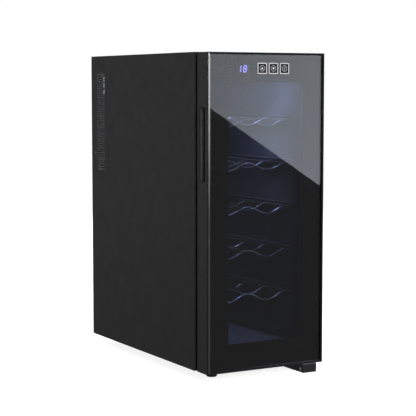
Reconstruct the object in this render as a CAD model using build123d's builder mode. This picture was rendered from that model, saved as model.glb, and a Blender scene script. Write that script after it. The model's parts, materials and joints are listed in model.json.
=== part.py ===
from build123d import *
import os

# A free-standing thermoelectric wine cooler, in millimetres. +Z is up, the door faces -Y,
# and the origin is on the floor below the middle of the cabinet's outline.

# ---- driving dimensions -------------------------------------------------------------
WIDTH, DEPTH, HEIGHT = 265.0, 526.0, 640.0
FLOOR_GAP = 20.0                            # height of the feet
HALF = WIDTH / 2
Y_FRONT, Y_BACK = -DEPTH / 2, DEPTH / 2
Y_CABINET = Y_FRONT + 54.0                  # front face of the cabinet, behind the door
SHEET = 1.2                                 # steel sheet
SKIN = HALF - SHEET                         # inner half width of the steel wrap
Z_PAN = FLOOR_GAP + SHEET                   # top of the base pan
Z_ROOF = HEIGHT - SHEET                     # underside of the wrap's roof
Y_REAR_PANEL = Y_BACK - 3.0                 # outer face of the recessed rear panel

CAVITY_HALF, CAVITY_Z = 100.0, (58.0, 590.0)
CAVITY_BACK = 160.0
COLLAR = 6.0                                # thickness of the plastic collar round the mouth
LINER = 2.0                                 # liner wall
FOAM_BACK = 190.0

DOOR_Z = (FLOOR_GAP + 0.8, HEIGHT - 1.0)
BEZEL_LIP, BEZEL_DEPTH, GLASS_INSET = 4.4, 5.7, 3.5
GLASS = 4.0                                 # each pane
MASK = 0.3                                  # printed black layer
FRAME_WALL = 3.0
Y_FRAME_BACK, Y_LINER_BACK = Y_FRONT + 37.0, Y_FRONT + 43.0
WINDOW_HALF, WINDOW_Z = 84.5, (76.0, 582.0)
OPENING_HALF, OPENING_Z = 91.5, (61.0, 589.0)
GASKET_OUT, GASKET_WIDTH, GASKET_GAP = 110.0, 9.5, 0.3
GRIP_Y, GRIP_Z, GRIP_DEPTH = (-251.5, -228.5), (391.0, 535.0), 26.5

AXIS_X, AXIS_Y = 119.5, -234.0              # door hinge axis
PIN_R, BUSH_R, RUNNING_GAP = 3.0, 5.0, 0.05
PLATE = 3.0                                 # hinge plates
NOTCH_Z = 632.0                             # floor of the hinge notch in the door's top

SHELF_COUNT, SHELF_PITCH, SHELF_VALLEY = 5, 87.5, 145.0
WAVE, WAVE_LENGTH = 14.5, 92.0              # height and length of a shelf wire's wave
WIRE_R, ROD_R, ROD_X = 1.5, 2.0, 94.0
SHELF_Y, WIRE_COUNT, WIRE_PITCH = (-190.0, 112.0), 5, 74.5
RUNNER_X, RUNNER_T, RUNNER_GAP = 90.5, 3.0, 0.35

COLD_Z = 470.0                              # height of the cooling module's middle
VENT_Y, VENT_Z = (195.5, 232.5), (391.0, 602.0)
VENT_HOLE_R, VENT_PITCH, VENT_SHEET = 2.0, 5.0, 0.6
SCREW_R, HEAD_R, HEAD_H = 1.6, 3.2, 1.6
INLET_X, INLET_Z = -85.0, 62.0
DISPLAY_X, KEY_X, PANEL_Z = -55.0, (-12.5, 13.1, 38.7), 610.0


# ---- shared steps -------------------------------------------------------------------
def save(piece, name):
    """Labels a finished piece and writes its file."""
    piece.part.label = name
    export_step(piece.part, f"parts/{name}.step")


def block(x, y, z, mode=Mode.ADD):
    """A box between two coordinates on each axis."""
    with Locations((sum(x) / 2, sum(y) / 2, sum(z) / 2)):
        Box(x[1] - x[0], y[1] - y[0], z[1] - z[0], mode=mode)


def panel(half, z, y, mode=Mode.ADD):
    """An upright plate centred on x = 0."""
    block((-half, half), y, z, mode)


def ring(outer_half, outer_z, inner_half, inner_z, y, mode=Mode.ADD):
    """An upright rectangular ring that faces the front."""
    with BuildSketch(Plane.XZ.offset(-y[1])) as outline:
        with Locations((0, sum(outer_z) / 2)):
            Rectangle(2 * outer_half, outer_z[1] - outer_z[0])
        with Locations((0, sum(inner_z) / 2)):
            Rectangle(2 * inner_half, inner_z[1] - inner_z[0], mode=Mode.SUBTRACT)
    extrude(outline.sketch, amount=y[1] - y[0], mode=mode)


def rod(x, y, z, radius, mode=Mode.ADD):
    """A round bar along the one axis that is given as a pair."""
    spans = [axis for axis in (x, y, z) if isinstance(axis, tuple)]
    length = spans[0][1] - spans[0][0]
    middle = [sum(axis) / 2 if isinstance(axis, tuple) else axis for axis in (x, y, z)]
    turn = (0, 90, 0) if isinstance(x, tuple) else (90, 0, 0) if isinstance(y, tuple) else (0, 0, 0)
    with Locations(Location(tuple(middle), turn)):
        Cylinder(radius, length, mode=mode)


def grown(span, by):
    """A pair of coordinates moved apart by the same amount each way."""
    return (span[0] - by, span[1] + by)


os.makedirs("parts", exist_ok=True)

# ---- cabinet: steel wrap, pan, rear panel, collar, liner and foam -------------------
PANEL_Y = (Y_REAR_PANEL - SHEET, Y_REAR_PANEL)
PLINTH_Z = (Z_PAN, Z_ROOF)
SHELL_SCREW_Y, SHELL_SCREW_Z, SHELL_SCREW_R, SHELL_SCREW_SHANK = 246.0, 428.0, 2.5, 6.0

with BuildPart() as outer_shell:
    with BuildSketch(Plane.XZ.offset(-Y_BACK)):
        with Locations((0, FLOOR_GAP)):
            Rectangle(WIDTH, HEIGHT - FLOOR_GAP, align=(Align.CENTER, Align.MIN))
            Rectangle(2 * SKIN, Z_ROOF - FLOOR_GAP, align=(Align.CENTER, Align.MIN), mode=Mode.SUBTRACT)
    extrude(amount=Y_BACK - Y_CABINET)
    fillet(outer_shell.edges().filter_by(Axis.Y).group_by(Axis.Z)[-1], 1.0)
    block((-HALF, HALF), VENT_Y, VENT_Z, Mode.SUBTRACT)
    rod((-HALF, HALF), SHELL_SCREW_Y, SHELL_SCREW_Z, SHELL_SCREW_R, Mode.SUBTRACT)
save(outer_shell, "outer_shell")

with BuildPart() as shell_screws:
    rod((-HALF, -SKIN), SHELL_SCREW_Y, SHELL_SCREW_Z, SHELL_SCREW_R)
    rod((-SKIN, -SKIN + SHELL_SCREW_SHANK), SHELL_SCREW_Y, SHELL_SCREW_Z, SCREW_R)
    mirror(about=Plane.YZ)
save(shell_screws, "shell_screws")


# A perforated plate fills the vent cut-out in each side of the wrap.
VENT_ROWS = int((VENT_Z[1] - VENT_Z[0] - 2) // VENT_PITCH)
VENT_COLUMNS = int((VENT_Y[1] - VENT_Y[0]) // VENT_PITCH)

with BuildPart() as left_vent_grille:
    outside = Plane(origin=(-HALF, sum(VENT_Y) / 2, sum(VENT_Z) / 2), x_dir=(0, -1, 0), z_dir=(-1, 0, 0))
    with BuildSketch(outside):
        Rectangle(VENT_Y[1] - VENT_Y[0], VENT_Z[1] - VENT_Z[0])
        with GridLocations(VENT_PITCH, VENT_PITCH, VENT_COLUMNS, VENT_ROWS):
            Circle(VENT_HOLE_R, mode=Mode.SUBTRACT)
    extrude(amount=-VENT_SHEET)
save(left_vent_grille, "left_vent_grille")

with BuildPart() as right_vent_grille:
    mirror(left_vent_grille.part, about=Plane.YZ)
save(right_vent_grille, "right_vent_grille")

FRONT_FOOT, REAR_FEET, STUB_R = (-81.0, -186.0), [(-72.0, 225.0), (72.0, 225.0)], 4.0
LOWER_SCREWS = [(x, y) for x in (99.0, 113.0) for y in (-196.0, -164.0)]

with BuildPart() as base_pan:
    panel(SKIN, (FLOOR_GAP, Z_PAN), (Y_CABINET, PANEL_Y[0]))
    with Locations(FRONT_FOOT, *REAR_FEET):
        Cylinder(STUB_R, 2 * Z_PAN, mode=Mode.SUBTRACT)
    with Locations(*LOWER_SCREWS):
        Cylinder(SCREW_R, 2 * Z_PAN, mode=Mode.SUBTRACT)
save(base_pan, "base_pan")

PANEL_SCREWS = [(x, z) for x in (-124.0, 124.0) for z in (30.0, 330.0, 630.0)]
INLET_W, INLET_H = 27.0, 20.0

with BuildPart() as rear_panel:
    with BuildSketch(Plane.XZ.offset(-Y_REAR_PANEL)):
        with Locations((0, sum(PLINTH_Z) / 2)):
            Rectangle(2 * SKIN, PLINTH_Z[1] - PLINTH_Z[0])
        with Locations((0, COLD_Z)):
            with GridLocations(42, 9, 2, 10):
                SlotOverall(38, 4.5, mode=Mode.SUBTRACT)
        with Locations((0, 165)):
            with GridLocations(50, 9, 3, 8):
                SlotOverall(44, 4.5, mode=Mode.SUBTRACT)
        with Locations((0, 576.5)):
            with GridLocations(205, 14.8, 2, 3):
                SlotOverall(11.2, 4.0, rotation=90, mode=Mode.SUBTRACT)
        with Locations((INLET_X, INLET_Z)):
            Rectangle(INLET_W, INLET_H, mode=Mode.SUBTRACT)
        with Locations(*PANEL_SCREWS):
            Circle(SCREW_R, mode=Mode.SUBTRACT)
    extrude(amount=SHEET)
save(rear_panel, "rear_panel")

COLLAR_Y = (Y_CABINET, Y_CABINET + COLLAR)
UPPER_SCREWS = [(x, z) for x in (107.0, 125.0) for z in (612.0, 625.0)]

with BuildPart() as front_collar:
    ring(SKIN, PLINTH_Z, CAVITY_HALF, CAVITY_Z, COLLAR_Y)
    for x, z in UPPER_SCREWS:
        rod(x, COLLAR_Y, z, SCREW_R, Mode.SUBTRACT)
save(front_collar, "front_collar")

MODULE_HOLE, CLAMP_X, CLAMP_R = 23.0, 36.0, 2.0


def module_holes(y):
    """The window and the two screw holes that the cooling module passes through."""
    block((-MODULE_HOLE, MODULE_HOLE), y, (COLD_Z - MODULE_HOLE, COLD_Z + MODULE_HOLE), Mode.SUBTRACT)
    for x in (-CLAMP_X, CLAMP_X):
        rod(x, y, COLD_Z, CLAMP_R, Mode.SUBTRACT)


def rod_height(shelf):
    """Height of the side rods of a shelf, counted from 0 at the bottom."""
    return SHELF_VALLEY + shelf * SHELF_PITCH + WAVE


with BuildPart() as inner_liner:
    panel(CAVITY_HALF + LINER, grown(CAVITY_Z, LINER), (COLLAR_Y[1], CAVITY_BACK + LINER))
    panel(CAVITY_HALF, CAVITY_Z, (COLLAR_Y[1], CAVITY_BACK), Mode.SUBTRACT)
    for shelf in range(SHELF_COUNT):
        gap = ROD_R + RUNNER_GAP
        for z in (rod_height(shelf) - gap - RUNNER_T, rod_height(shelf) + gap):
            for x in ((-CAVITY_HALF, -RUNNER_X), (RUNNER_X, CAVITY_HALF)):
                block(x, (-197.0, 114.0), (z, z + RUNNER_T))
    module_holes((CAVITY_BACK, CAVITY_BACK + LINER))
save(inner_liner, "inner_liner")

with BuildPart() as insulation_foam:
    panel(SKIN, PLINTH_Z, (COLLAR_Y[1], FOAM_BACK))
    panel(CAVITY_HALF + LINER, grown(CAVITY_Z, LINER), (COLLAR_Y[1], CAVITY_BACK + LINER), Mode.SUBTRACT)
    module_holes((CAVITY_BACK + LINER, FOAM_BACK))
save(insulation_foam, "insulation_foam")

# ---- cooling module: cold sink, block, thermoelectric plate, hot sink, two fans -----
PLATE_Y = (FOAM_BACK - 4.0, FOAM_BACK)
COLD_BASE_Y = (CAVITY_BACK - 4.0, CAVITY_BACK)
HOT_BASE_Y = (FOAM_BACK, FOAM_BACK + 6.0)

with BuildPart() as cold_block:
    block((-20, 20), (CAVITY_BACK, PLATE_Y[0]), (COLD_Z - 20, COLD_Z + 20))
save(cold_block, "cold_block")

with BuildPart() as peltier_module:
    block((-20, 20), PLATE_Y, (COLD_Z - 20, COLD_Z + 20))
save(peltier_module, "peltier_module")


def heat_sink(half_x, half_z, base_y, fin_y, fins, name):
    """A finned plate held by the two clamp screws."""
    pitch = (2 * half_x - 2) / (fins - 1)
    with BuildPart() as sink:
        block((-half_x, half_x), base_y, (COLD_Z - half_z, COLD_Z + half_z))
        with Locations((0, sum(fin_y) / 2, COLD_Z)):
            with GridLocations(pitch, 1, fins, 1):
                Box(1.4, fin_y[1] - fin_y[0], 2 * half_z)
        for x in (-CLAMP_X, CLAMP_X):
            rod(x, grown((min(base_y[0], fin_y[0]), max(base_y[1], fin_y[1])), 1), COLD_Z, 4.5, Mode.SUBTRACT)
            block((x - 6, x + 6), base_y, (COLD_Z - 6, COLD_Z + 6))
            rod(x, base_y, COLD_Z, CLAMP_R, Mode.SUBTRACT)
    save(sink, name)


heat_sink(52, 52, COLD_BASE_Y, (138.0, COLD_BASE_Y[0]), 18, "cold_heat_sink")
heat_sink(52, 62, HOT_BASE_Y, (HOT_BASE_Y[1], 224.0), 20, "hot_heat_sink")

with BuildPart() as clamp_screws:
    for x in (-CLAMP_X, CLAMP_X):
        rod(x, (COLD_BASE_Y[0], HOT_BASE_Y[1]), COLD_Z, CLAMP_R)
        rod(x, (HOT_BASE_Y[1], HOT_BASE_Y[1] + 2.5), COLD_Z, 3.8)
save(clamp_screws, "clamp_screws")


def fan(back_y, size, depth, bore, blade_chord, name):
    """A square fan frame with struts at its back, and the rotor that turns in it."""
    axis = Plane(origin=(0, back_y, COLD_Z), x_dir=(1, 0, 0), z_dir=(0, -1, 0))
    hub, shaft, strut, gap = 18.0, 1.5, 2.5, 1.0
    low = (Align.CENTER, Align.CENTER, Align.MIN)
    corner = size - 9.5
    with BuildPart(axis) as frame:
        Box(size, size, depth, align=low)
        Cylinder(bore, depth, align=low, mode=Mode.SUBTRACT)
        with PolarLocations((bore + hub) / 2, 4, 45):
            Box(bore - hub + 4, 4, strut, align=low)
        Cylinder(hub, strut, align=low)
        Cylinder(4, depth - 6, align=low)
        Cylinder(shaft + RUNNING_GAP, depth, align=low, mode=Mode.SUBTRACT)
        with GridLocations(corner, corner, 2, 2):
            Cylinder(2.0, depth, align=low, mode=Mode.SUBTRACT)
    save(frame, f"{name}_frame")
    with BuildPart(axis) as rotor:
        with Locations((0, 0, depth / 2 + gap)):
            with PolarLocations((bore + hub) / 2 - 1, 7):
                Box(bore - hub + 2, blade_chord, 1.6, rotation=(35, 0, 0))
            Cylinder(bore - 1.5, depth, mode=Mode.INTERSECT)
        with Locations((0, 0, strut + gap)):
            Cylinder(hub, depth - strut - 2 * gap, align=low)
            Cylinder(hub - 2, depth - strut - 2 * gap - 2, align=low, mode=Mode.SUBTRACT)
        with Locations((0, 0, gap)):
            Cylinder(shaft, depth - 2 * gap, align=low)
    save(rotor, f"{name}_rotor")


fan(251.0, 92.0, 25.0, 43.0, 22.0, "hot_fan")
fan(135.0, 80.0, 15.0, 38.0, 14.0, "cold_fan")

with BuildPart() as hot_fan_screws:
    for x in (-41.25, 41.25):
        for z in (COLD_Z - 41.25, COLD_Z + 41.25):
            rod(x, (226.0, 251.0), z, 1.9)
            rod(x, (251.0, 253.0), z, 3.4)
save(hot_fan_screws, "hot_fan_screws")

COVER_X, COVER_Z, COVER_Y = 72.0, (400.0, 540.0), (118.0, CAVITY_BACK)

with BuildPart() as duct_cover:
    panel(COVER_X, COVER_Z, COVER_Y)
    fillet(duct_cover.edges().group_by(Axis.Y)[0], 3.0)
    panel(COVER_X - 2, grown(COVER_Z, -2), (COVER_Y[0] + 2, COVER_Y[1]), Mode.SUBTRACT)
    with BuildSketch(Plane.XZ.offset(-COVER_Y[0] - 2)):
        with Locations((0, COLD_Z)):
            with GridLocations(0, 8, 1, 8):
                SlotOverall(60, 3.5)
    extrude(amount=2, mode=Mode.SUBTRACT)
    for x in (-50, -25, 0, 25, 50):
        block((x - 9, x + 9), (128, 150), grown(COVER_Z, 1), Mode.SUBTRACT)
save(duct_cover, "cold_air_duct_cover")

with BuildPart() as temperature_sensor:
    rod((COVER_X, COVER_X + 6), 140.0, 430.0, 5.0)
    rod(COVER_X + 7.5, 140.0, (420.0, 440.0), 3.0)
    fillet(temperature_sensor.edges().group_by(Axis.Z)[-1], 1.5)
save(temperature_sensor, "temperature_sensor")

# ---- electrics in the rear compartment, mains inlet, lamp ---------------------------
BOARD_Y = (204.0, 205.6)
BOARD_POSTS = [(x, z) for x in (-44.0, 44.0) for z in (106.0, 224.0)]

with BuildPart() as board_standoffs:
    for x, z in BOARD_POSTS:
        rod(x, (FOAM_BACK, BOARD_Y[0]), z, 4.0)
save(board_standoffs, "board_standoffs")

with BuildPart() as power_supply_board:
    block((-50, 50), BOARD_Y, (100, 230))
    block((-20, 14), (BOARD_Y[1], 232.0), (150, 184))
    block((-42, -26), (BOARD_Y[1], 222.0), (196, 214))
    block((22, 26), (BOARD_Y[1], 236.0), (120, 200))
    for x, z, radius, top in ((-34, 128, 9, 234), (-12, 122, 6.5, 228), (6, 122, 6.5, 228), (36, 160, 4, 220)):
        rod(x, (BOARD_Y[1], top), z, radius)
    for x in (-30, -18, -6):
        block((x - 5, x + 5), (BOARD_Y[1], 216.0), (104, 112))
save(power_supply_board, "power_supply_board")

with BuildPart() as mains_inlet:
    inlet = ((INLET_X - INLET_W / 2, INLET_X + INLET_W / 2), (INLET_Z - INLET_H / 2, INLET_Z + INLET_H / 2))
    block(grown(inlet[0], 3), (Y_REAR_PANEL, Y_REAR_PANEL + 2.5), grown(inlet[1], 3))
    fillet(mains_inlet.edges().filter_by(Axis.Y), 3.0)
    block(inlet[0], (238.0, Y_REAR_PANEL), inlet[1])
    block(grown(inlet[0], -1.5), (244.0, Y_BACK), grown(inlet[1], -1.5), Mode.SUBTRACT)
    for x, z in ((-7, -3), (0, 3), (7, -3)):
        block((INLET_X + x - 1, INLET_X + x + 1), (230.0, 256.0), (INLET_Z + z - 2, INLET_Z + z + 2))
save(mains_inlet, "mains_inlet")

LAMP_X, LAMP_Y = (30.0, 86.0), (-178.0, -158.0)

with BuildPart() as led_board:
    block(grown(LAMP_X, -4), grown(LAMP_Y, -4), (588.4, CAVITY_Z[1]))
    for x in (40, 49, 58, 67, 76):
        block((x - 1.75, x + 1.75), (-170.0, -166.0), (586.9, 588.4))
save(led_board, "led_board")

with BuildPart() as led_lens:
    block(LAMP_X, LAMP_Y, (583.0, CAVITY_Z[1]))
    fillet(led_lens.edges().group_by(Axis.Z)[0], 2.5)
    block(grown(LAMP_X, -1.5), grown(LAMP_Y, -1.5), (584.5, CAVITY_Z[1]), Mode.SUBTRACT)
save(led_lens, "led_lens")

# ---- hinges and feet ----------------------------------------------------------------
UPPER_PLATE_Z = (634.0, 634.0 + PLATE)
TAB_Y = (Y_CABINET - PLATE, Y_CABINET)

with BuildPart() as upper_hinge_bracket:
    block((102, 130), (AXIS_Y - 12, Y_CABINET), UPPER_PLATE_Z)
    fillet(upper_hinge_bracket.edges().filter_by(Axis.Z).group_by(Axis.Y)[0], 8.0)
    block((102, 130), TAB_Y, (606, UPPER_PLATE_Z[1]))
    rod(AXIS_X, AXIS_Y, grown(UPPER_PLATE_Z, 1), PIN_R, Mode.SUBTRACT)
    for x, z in UPPER_SCREWS:
        rod(x, TAB_Y, z, SCREW_R, Mode.SUBTRACT)
save(upper_hinge_bracket, "upper_hinge_bracket")

with BuildPart() as upper_hinge_pin:
    rod(AXIS_X, AXIS_Y, (NOTCH_Z - 9, UPPER_PLATE_Z[1]), PIN_R)
save(upper_hinge_pin, "upper_hinge_pin")

LOWER_PLATE_Z = (FLOOR_GAP - PLATE, FLOOR_GAP)
BLOCK_X, BLOCK_Y = (92.5, 125.5), (-253.0, -173.0)

with BuildPart() as lower_hinge_bracket:
    block(grown(BLOCK_X, -0.5), (BLOCK_Y[0] + 1, -150), LOWER_PLATE_Z)
    fillet(lower_hinge_bracket.edges().filter_by(Axis.Z), 3.0)
    rod(AXIS_X, AXIS_Y, grown(LOWER_PLATE_Z, 1), PIN_R, Mode.SUBTRACT)
    for x, y in LOWER_SCREWS:
        rod(x, y, grown(LOWER_PLATE_Z, 1), SCREW_R, Mode.SUBTRACT)
save(lower_hinge_bracket, "lower_hinge_bracket")

with BuildPart() as lower_hinge_pin:
    rod(AXIS_X, AXIS_Y, (LOWER_PLATE_Z[0], DOOR_Z[0] + 9), PIN_R)
    rod(AXIS_X, AXIS_Y, (LOWER_PLATE_Z[0] - 3, LOWER_PLATE_Z[0]), PIN_R + 2)
save(lower_hinge_pin, "lower_hinge_pin")

SIDE_SCREW_Y, SIDE_SCREW_Z = -243.0, 7.0

with BuildPart() as hinge_foot_block:
    block(BLOCK_X, BLOCK_Y, (0, LOWER_PLATE_Z[0]))
    fillet(hinge_foot_block.edges().filter_by(Axis.Z), 3.0)
    chamfer(hinge_foot_block.edges().group_by(Axis.Z)[0], 1.0)
    rod(AXIS_X, AXIS_Y, (LOWER_PLATE_Z[0] - 4, LOWER_PLATE_Z[0]), PIN_R + 2.5, Mode.SUBTRACT)
    for x, y in LOWER_SCREWS:
        rod(x, y, (LOWER_PLATE_Z[0] - 3, LOWER_PLATE_Z[0]), HEAD_R + 0.4, Mode.SUBTRACT)
    rod((BLOCK_X[0], BLOCK_X[0] + 9), SIDE_SCREW_Y, SIDE_SCREW_Z, SCREW_R, Mode.SUBTRACT)
    rod((BLOCK_X[0], BLOCK_X[0] + 1), SIDE_SCREW_Y, SIDE_SCREW_Z, HEAD_R, Mode.SUBTRACT)
save(hinge_foot_block, "hinge_foot_block")

with BuildPart() as hinge_screws:
    for x, z in UPPER_SCREWS:
        rod(x, (TAB_Y[0], COLLAR_Y[1]), z, SCREW_R)
        rod(x, (TAB_Y[0] - 1, TAB_Y[0]), z, HEAD_R)
    for x, y in LOWER_SCREWS:
        rod(x, y, (LOWER_PLATE_Z[0], Z_PAN), SCREW_R)
        rod(x, y, (LOWER_PLATE_Z[0] - HEAD_H, LOWER_PLATE_Z[0]), HEAD_R)
    rod((BLOCK_X[0] + 1, BLOCK_X[0] + 9), SIDE_SCREW_Y, SIDE_SCREW_Z, SCREW_R)
    rod((BLOCK_X[0] - 0.6, BLOCK_X[0] + 1), SIDE_SCREW_Y, SIDE_SCREW_Z, HEAD_R)
save(hinge_screws, "hinge_screws")


def feet(places, name):
    """Round push-in feet that stand on the floor."""
    with BuildPart() as foot:
        with BuildSketch(Plane.XZ) as profile:
            with BuildLine():
                Polyline((0, 0), (10.5, 0), (10.5, 8), (9.5, FLOOR_GAP), (STUB_R, FLOOR_GAP),
                         (STUB_R, Z_PAN), (0, Z_PAN), close=True)
            make_face()
        turned = revolve(profile.sketch, axis=Axis.Z, mode=Mode.PRIVATE)
        with Locations(*places):
            add(turned)
    save(foot, name)


feet([FRONT_FOOT], "front_left_foot")
feet(REAR_FEET, "rear_feet")

with BuildPart() as rear_panel_screws:
    for x, z in PANEL_SCREWS:
        rod(x, (PANEL_Y[0] - 6, Y_REAR_PANEL), z, SCREW_R)
        rod(x, (Y_REAR_PANEL, Y_REAR_PANEL + HEAD_H), z, HEAD_R)
save(rear_panel_screws, "rear_panel_screws")

# ---- door: bezel, double glazing, frame, liner, gasket, grip ------------------------
BEZEL_Y = (Y_FRONT, Y_FRONT + BEZEL_DEPTH)
GLASS_Y = (Y_FRONT + GLASS_INSET, Y_FRONT + GLASS_INSET + GLASS)
MASK_Y = (GLASS_Y[1], GLASS_Y[1] + MASK)
WEB_Y = (MASK_Y[1], MASK_Y[1] + FRAME_WALL)
SPACER_Y = (MASK_Y[1], MASK_Y[1] + 12.0)
INNER_GLASS_Y = (SPACER_Y[1], SPACER_Y[1] + GLASS)
GLASS_HALF, GLASS_Z = HALF - BEZEL_LIP, grown(DOOR_Z, -BEZEL_LIP)
KEY_SIZE, DIGITS_W, DIGITS_H = 14.0, 22.0, 15.0

with BuildPart() as front_bezel:
    ring(HALF, DOOR_Z, GLASS_HALF, GLASS_Z, BEZEL_Y)
    chamfer(front_bezel.faces().sort_by(Axis.Y)[0].outer_wire().edges(), 0.8)
    ring_back = (Y_FRONT + 2.0, BEZEL_Y[1] - 1.0)
    with BuildSketch(Plane.XZ.offset(-ring_back[1])):
        with Locations((0, sum(DOOR_Z) / 2)):
            Rectangle(2 * HALF, DOOR_Z[1] - DOOR_Z[0])
            Rectangle(2 * HALF - 1.6, DOOR_Z[1] - DOOR_Z[0] - 1.6, mode=Mode.SUBTRACT)
    extrude(amount=ring_back[1] - ring_back[0], mode=Mode.SUBTRACT)
save(front_bezel, "front_bezel")

with BuildPart() as front_glass:
    panel(GLASS_HALF, GLASS_Z, GLASS_Y)
save(front_glass, "front_glass")

with BuildPart() as glass_mask:
    ring(GLASS_HALF, GLASS_Z, WINDOW_HALF, WINDOW_Z, MASK_Y)
    block((DISPLAY_X - DIGITS_W / 2, DISPLAY_X + DIGITS_W / 2), MASK_Y,
          (PANEL_Z - 2 - DIGITS_H / 2, PANEL_Z - 2 + DIGITS_H / 2), Mode.SUBTRACT)
save(glass_mask, "glass_mask")

with BuildPart() as spacer_frame:
    ring(OPENING_HALF, OPENING_Z, WINDOW_HALF + 3.5, grown(WINDOW_Z, 4), SPACER_Y)
save(spacer_frame, "spacer_frame")

with BuildPart() as inner_glass:
    panel(OPENING_HALF, OPENING_Z, INNER_GLASS_Y)
save(inner_glass, "inner_glass")

BOARD_WINDOW_X, BOARD_WINDOW_Z = (-72.0, 52.0), (596.0, 624.0)
CONTROL_Y = (WEB_Y[1] + 5.0, WEB_Y[1] + 6.6)
CONTROL_POSTS = [(x, z) for x in (-80.0, 60.0) for z in (600.0, 626.0)]
NOTCH_X = 97.5
HOUSING_X = 105.0

with BuildPart() as door_frame:
    ring(HALF, DOOR_Z, OPENING_HALF, OPENING_Z, (WEB_Y[0], Y_FRAME_BACK))
    hollow_z = grown(DOOR_Z, -FRAME_WALL)
    with BuildSketch(Plane.XZ.offset(-Y_FRAME_BACK)):
        with Locations((0, sum(DOOR_Z) / 2)):
            Rectangle(2 * (HALF - FRAME_WALL), hollow_z[1] - hollow_z[0])
        with Locations((0, sum(OPENING_Z) / 2)):
            Rectangle(2 * (OPENING_HALF + FRAME_WALL), OPENING_Z[1] - OPENING_Z[0] + 2 * FRAME_WALL,
                      mode=Mode.SUBTRACT)
    extrude(amount=Y_FRAME_BACK - WEB_Y[1], mode=Mode.SUBTRACT)
    ring(HALF, DOOR_Z, GLASS_HALF, GLASS_Z, (BEZEL_Y[1], WEB_Y[0]))
    block((OPENING_HALF, HALF), (WEB_Y[1], Y_FRAME_BACK), (NOTCH_Z - 14, DOOR_Z[1]))
    block((NOTCH_X, HALF), (AXIS_Y - 17.5, Y_FRAME_BACK), (NOTCH_Z, DOOR_Z[1]), Mode.SUBTRACT)
    block((HOUSING_X, HALF), (WEB_Y[1], Y_FRAME_BACK), (DOOR_Z[0], DOOR_Z[0] + 14))
    rod(AXIS_X, AXIS_Y, (NOTCH_Z - 10, NOTCH_Z), BUSH_R, Mode.SUBTRACT)
    rod(AXIS_X, AXIS_Y, (DOOR_Z[0], DOOR_Z[0] + 10), BUSH_R, Mode.SUBTRACT)
    block((-HALF, -HALF + FRAME_WALL), GRIP_Y, GRIP_Z, Mode.SUBTRACT)
    block(BOARD_WINDOW_X, WEB_Y, BOARD_WINDOW_Z, Mode.SUBTRACT)
    for x, z in CONTROL_POSTS:
        rod(x, (WEB_Y[1], CONTROL_Y[0]), z, 3.0)
save(door_frame, "door_frame")

with BuildPart() as grip_insert:
    block((-HALF, -HALF + GRIP_DEPTH), GRIP_Y, GRIP_Z)
    with BuildSketch(Plane.XY.offset(GRIP_Z[0] + 2)) as scoop:
        with BuildLine():
            mouth, floor = grown(GRIP_Y, -2), -HALF + GRIP_DEPTH - 2
            Polyline((-HALF, mouth[0]), (floor, mouth[0]), (floor, mouth[0] + 5), (-HALF, mouth[1]), close=True)
        make_face()
    extrude(scoop.sketch, amount=GRIP_Z[1] - GRIP_Z[0] - 4, mode=Mode.SUBTRACT)
    block((-HALF + 4, -HALF + 7), (GRIP_Y[0] + 2, GRIP_Y[0] + 4.5), grown(GRIP_Z, -2))
    chamfer(grip_insert.faces().sort_by(Axis.X)[0].inner_wires()[0].edges(), 1.4)
save(grip_insert, "grip_insert")

with BuildPart() as control_board:
    block((-86, 66), CONTROL_Y, (595, 631))
    block((-20, 10), (CONTROL_Y[1], CONTROL_Y[1] + 6), (600, 612))
    block((30, 46), (CONTROL_Y[1], CONTROL_Y[1] + 3), (600, 616))
save(control_board, "control_board")

with BuildPart() as display_module:
    block((DISPLAY_X - DIGITS_W / 2 - 2, DISPLAY_X + DIGITS_W / 2 + 2), (MASK_Y[1], CONTROL_Y[0]),
          (PANEL_Z - 12, PANEL_Z + 8))
save(display_module, "display_module")

for key_name, key_x in zip(("up", "down", "lamp"), KEY_X):
    with BuildPart() as touch_pad:
        block((key_x - KEY_SIZE / 2, key_x + KEY_SIZE / 2), (MASK_Y[1], MASK_Y[1] + 1.2),
              (PANEL_Z - KEY_SIZE / 2, PANEL_Z + KEY_SIZE / 2))
        rod(key_x, (MASK_Y[1] + 1.2, CONTROL_Y[0]), PANEL_Z, 2.5)
    save(touch_pad, f"touch_pad_{key_name}")

GROOVE_HALF, GROOVE_W, GROOVE_D = GASKET_OUT - 3.0, 3.5, 3.0
SEAL_Z = (CAVITY_Z[0] - 10.0, CAVITY_Z[1] + 10.0)
LINER_LIP = 2.0
LINER_SCREWS = [(x, z) for x in (-121.0, 121.0) for z in (60.0, 220.0, 440.0, 600.0)]


def seal_ring(outside, width, y):
    """A ring that follows the gasket, measured from the gasket's outer edge."""
    ring(GASKET_OUT - outside, grown(SEAL_Z, -outside), GASKET_OUT - outside - width,
         grown(SEAL_Z, -outside - width), y)


with BuildPart() as door_liner:
    lip_half, lip_z = OPENING_HALF - LINER_LIP, grown(OPENING_Z, -LINER_LIP)
    ring(HALF, DOOR_Z, lip_half, lip_z, (Y_FRAME_BACK, Y_LINER_BACK))
    ring(OPENING_HALF, OPENING_Z, lip_half, lip_z, (INNER_GLASS_Y[1], Y_FRAME_BACK))
    with BuildSketch(Plane.XZ.offset(-Y_LINER_BACK)):
        with Locations((0, sum(SEAL_Z) / 2)):
            Rectangle(2 * GROOVE_HALF, SEAL_Z[1] - SEAL_Z[0] - 6)
            Rectangle(2 * (GROOVE_HALF - GROOVE_W), SEAL_Z[1] - SEAL_Z[0] - 6 - 2 * GROOVE_W, mode=Mode.SUBTRACT)
    extrude(amount=GROOVE_D, mode=Mode.SUBTRACT)
    block((NOTCH_X, HALF), (Y_FRAME_BACK, Y_LINER_BACK), (NOTCH_Z, DOOR_Z[1]), Mode.SUBTRACT)
    for x, z in LINER_SCREWS:
        rod(x, (Y_FRAME_BACK, Y_LINER_BACK), z, SCREW_R, Mode.SUBTRACT)
save(door_liner, "door_liner")

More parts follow.
